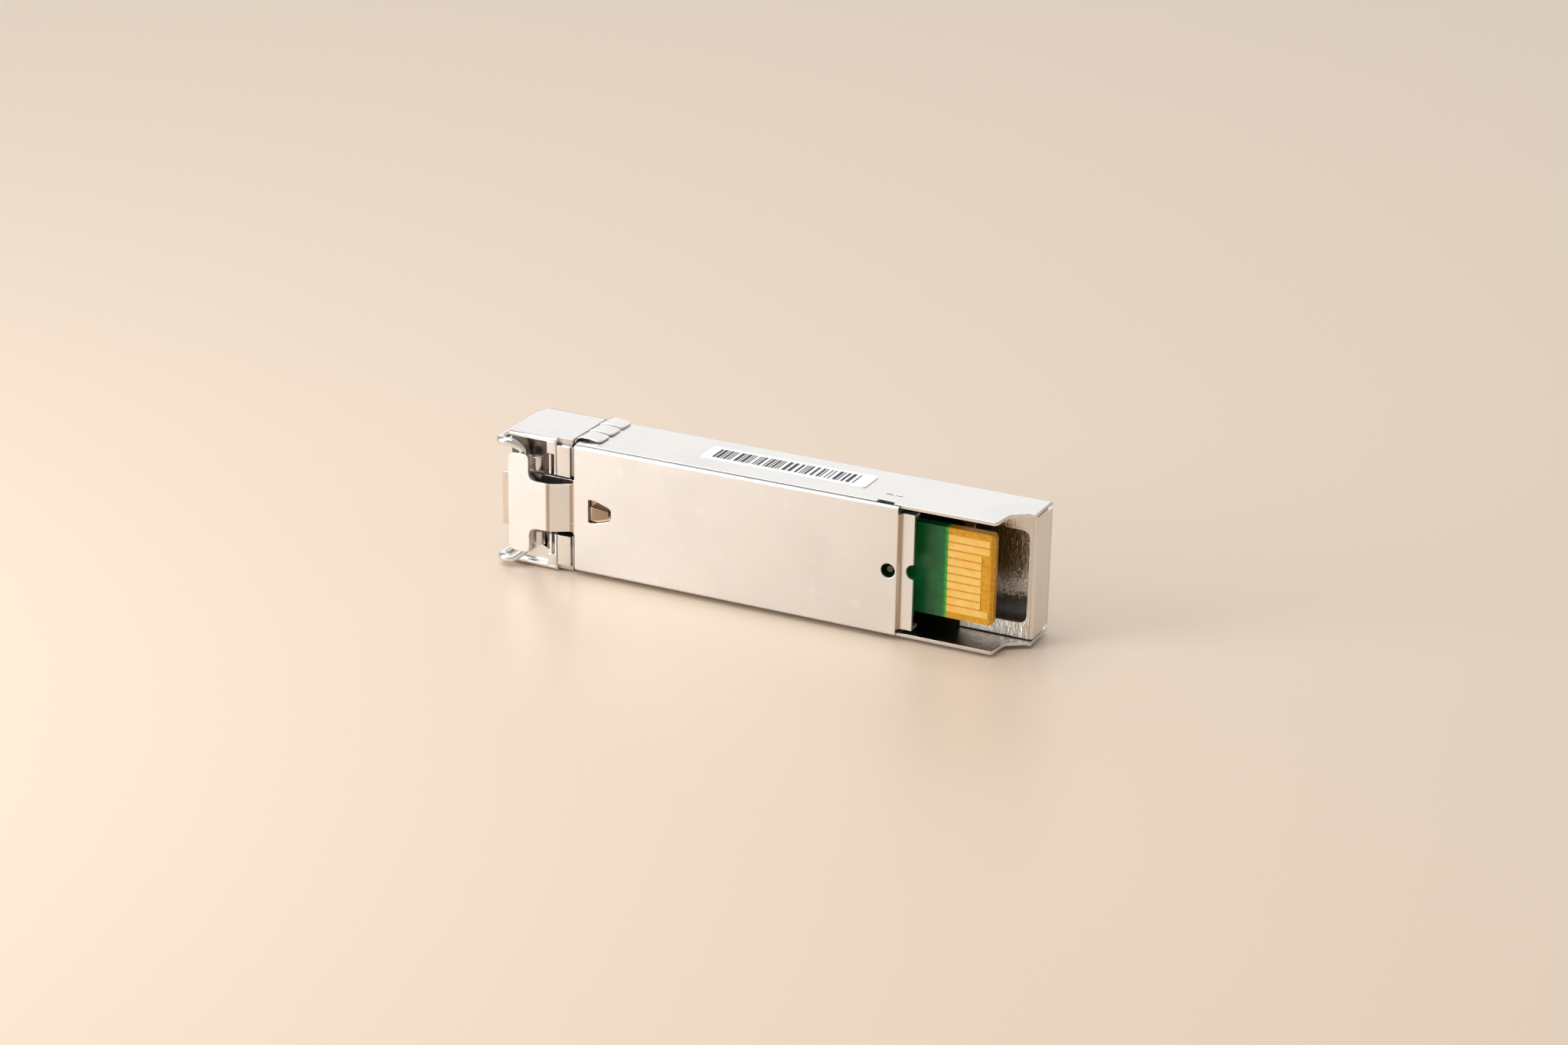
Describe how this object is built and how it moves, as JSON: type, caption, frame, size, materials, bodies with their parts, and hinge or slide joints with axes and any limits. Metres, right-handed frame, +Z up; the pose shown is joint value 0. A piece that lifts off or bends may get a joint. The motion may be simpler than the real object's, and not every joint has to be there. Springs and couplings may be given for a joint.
{
  "type": "optical transceiver module",
  "caption": "Slim pluggable optical transceiver in a folded metal shell: duplex fibre ports and wire bail in front, gold edge contacts under a hood behind.",
  "frame": {"origin": "under the middle of the bounding box, on the surface that the module lies on", "axes": "+X along the module from the fibre ports to the host connector end, +Y from the latch face (bottom cover) to the top shell, +Z up through the narrow sides"},
  "size_m": [0.0554, 0.0104, 0.0142],
  "materials": {
    "shell_steel": "nickel-plated stamped steel, satin",
    "cover_steel": "nickel-plated stamped steel, satin with fine handling marks",
    "cast_nose": "nickel-plated zinc die casting, fine satin",
    "spring_steel": "thin spring steel, bright plated",
    "bail_wire": "bright plated round wire",
    "lever_steel": "stamped steel, satin",
    "turned_steel": "turned stainless steel",
    "zirconia": "polished white zirconia",
    "gold_can": "gold-plated can and leads",
    "flex_film": "amber polyimide film",
    "solder_mask": "green solder mask over glass-epoxy laminate",
    "contact_gold": "gold-plated copper lands",
    "chip_resin": "black moulding compound",
    "capacitor_ceramic": "tan ceramic with tinned ends",
    "inductor_core": "dark ferrite",
    "label_paper": "white printed label with plain bars"
  },
  "bodies": {
    "module": {"top_shell": "shell_steel", "bottom_cover": "cover_steel", "nose_housing": "cast_nose", "shield_collar": "spring_steel", "latch_spring": "spring_steel", "lever_pin": "turned_steel", "transmitter_barrel": "turned_steel", "receiver_barrel": "turned_steel", "transmitter_sleeve": "zirconia", "receiver_sleeve": "zirconia", "transmitter_can": "gold_can", "receiver_can": "gold_can", "transmitter_flex": "flex_film", "receiver_flex": "flex_film", "optics_clamp": "shell_steel", "circuit_board": "solder_mask", "board_standoff": "turned_steel", "contact_near_01": "contact_gold", "contact_near_02": "contact_gold", "contact_near_03": "contact_gold", "contact_near_04": "contact_gold", "contact_near_05": "contact_gold", "contact_near_06": "contact_gold", "contact_near_07": "contact_gold", "contact_near_08": "contact_gold", "contact_near_09": "contact_gold", "contact_near_10": "contact_gold", "contact_far_01": "contact_gold", "contact_far_02": "contact_gold", "contact_far_03": "contact_gold", "contact_far_04": "contact_gold", "contact_far_05": "contact_gold", "contact_far_06": "contact_gold", "contact_far_07": "contact_gold", "contact_far_08": "contact_gold", "contact_far_09": "contact_gold", "contact_far_10": "contact_gold", "laser_driver_chip": "chip_resin", "amplifier_chip": "chip_resin", "controller_chip": "chip_resin", "memory_chip": "chip_resin", "capacitor_1": "capacitor_ceramic", "capacitor_2": "capacitor_ceramic", "capacitor_3": "capacitor_ceramic", "capacitor_4": "capacitor_ceramic", "capacitor_5": "capacitor_ceramic", "capacitor_6": "capacitor_ceramic", "inductor_1": "inductor_core", "inductor_2": "inductor_core", "barcode_label": "label_paper"},
    "bail": {"bail": "bail_wire"},
    "lever": {"latch_lever": "lever_steel"}
  },
  "joints": [
    {"name": "bail_swing", "type": "hinge", "parent": "module", "child": "bail", "pos_m": [-0.02489, -0.00398, 0.00709], "axis": [0, 0, 1], "range_deg": [0, 90]},
    {"name": "latch_rock", "type": "hinge", "parent": "module", "child": "lever", "pos_m": [-0.00779, -0.00253, 0.00709], "axis": [0, 0, -1], "range_deg": [0, 2.8]}
  ],
  "couplings": [
    {"joint": "latch_rock", "follows": "bail_swing", "ratio": 0.031}
  ]
}
